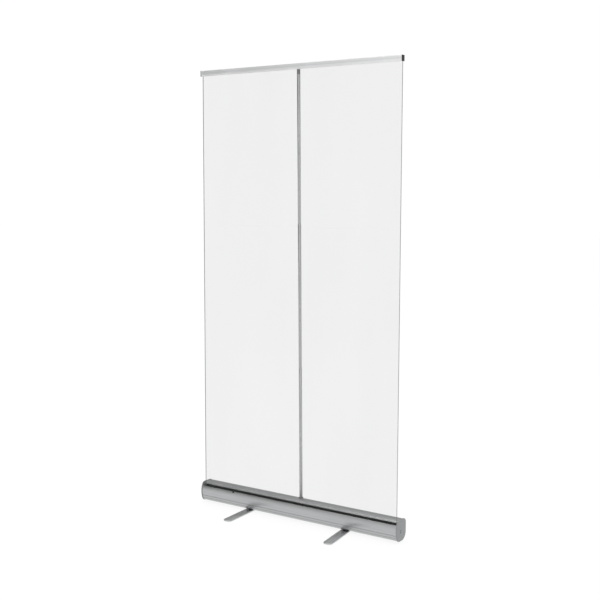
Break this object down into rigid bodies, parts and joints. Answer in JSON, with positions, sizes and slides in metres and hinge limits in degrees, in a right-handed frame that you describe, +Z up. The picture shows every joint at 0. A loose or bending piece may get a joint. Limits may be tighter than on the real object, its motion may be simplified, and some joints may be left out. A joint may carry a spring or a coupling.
{
  "type": "roll-up banner stand",
  "caption": "Free-standing roll-up banner stand: sprung film roller in an aluminium housing with swing-out feet, a clear pull-up banner, clamp rail and plug-in support pole.",
  "frame": {"origin": "on the floor, under the middle of the stand's outer box", "axes": "+Z up along the banner, +X along the housing to the right as seen from the front, +Y to the back, where the pole is"},
  "size_m": [1.02, 0.2404, 1.9515],
  "materials": {
    "housing_aluminium": "satin anodised aluminium extrusion",
    "rail_aluminium": "satin anodised aluminium extrusion",
    "pole_aluminium": "drawn aluminium tube, fine lengthwise grain",
    "foot_metal": "satin plated flat bar",
    "plated_steel": "zinc plated",
    "silver_plastic": "fine-textured silver-grey moulding",
    "black_plastic": "matt moulding",
    "grey_plastic": "matt moulding",
    "rubber": "matt black",
    "elastic": "braided sleeve",
    "clear_film": "clear, slightly milky film"
  },
  "bodies": {
    "base": {"housing_extrusion": "housing_aluminium", "left_end_cap": "silver_plastic", "left_cap_screw_top": "plated_steel", "left_cap_screw_rear": "plated_steel", "left_cap_screw_front": "plated_steel", "right_end_cap": "silver_plastic", "right_cap_screw_top": "plated_steel", "right_cap_screw_rear": "plated_steel", "right_cap_screw_front": "plated_steel", "idle_pin": "plated_steel", "spring_shaft": "plated_steel", "spring_anchor": "black_plastic", "torsion_spring": "plated_steel", "pole_socket": "grey_plastic", "lip_bumper": "rubber", "left_foot_bolt": "plated_steel", "left_foot_washer": "black_plastic", "left_foot_plate": "plated_steel", "left_foot_nut": "plated_steel", "right_foot_bolt": "plated_steel", "right_foot_washer": "black_plastic", "right_foot_plate": "plated_steel", "right_foot_nut": "plated_steel"},
    "roller": {"roller_tube": "housing_aluminium", "roller_plug_left": "black_plastic", "roller_plug_right": "black_plastic", "wound_film": "clear_film"},
    "pole": {"pole_lower": "pole_aluminium", "pole_middle": "pole_aluminium", "pole_upper": "pole_aluminium", "pole_ferrule_lower": "plated_steel", "pole_ferrule_upper": "plated_steel", "pole_bungee": "elastic", "pole_foot_plug": "black_plastic", "pole_hook": "silver_plastic"},
    "rail": {"top_rail": "rail_aluminium", "rail_clamp_strip": "rail_aluminium", "rail_end_cap_left": "black_plastic", "rail_end_cap_right": "black_plastic", "banner_film": "clear_film"},
    "foot_left": {"left_foot": "foot_metal", "left_foot_front_pad": "rubber", "left_foot_rear_pad": "rubber"},
    "foot_right": {"right_foot": "foot_metal", "right_foot_front_pad": "rubber", "right_foot_rear_pad": "rubber"}
  },
  "joints": [
    {"name": "left_foot_swing", "type": "hinge", "parent": "base", "child": "foot_left", "pos_m": [-0.25, 0.07488, 0.0043], "axis": [0, 0, 1], "range_deg": [-18, 87]},
    {"name": "right_foot_swing", "type": "hinge", "parent": "base", "child": "foot_right", "pos_m": [0.25, 0.07488, 0.0043], "axis": [0, 0, 1], "range_deg": [-97, 8]},
    {"name": "pole_lift", "type": "slide", "parent": "base", "child": "pole", "axis": [0, -0.015, 0.9999], "range_m": [0, 0.04]},
    {"name": "rail_travel", "type": "slide", "parent": "pole", "child": "rail", "axis": [0, 0, 1], "range_m": [-1.832, 0.012], "deforming": ["banner_film"]},
    {"name": "roller_spin", "type": "hinge", "parent": "base", "child": "roller", "pos_m": [0, 0.0729, 0.0475], "axis": [1, 0, 0], "range_deg": [-60, 7400]}
  ],
  "couplings": [
    {"joint": "roller_spin", "follows": "rail_travel", "rad_per_m": -69.444}
  ]
}
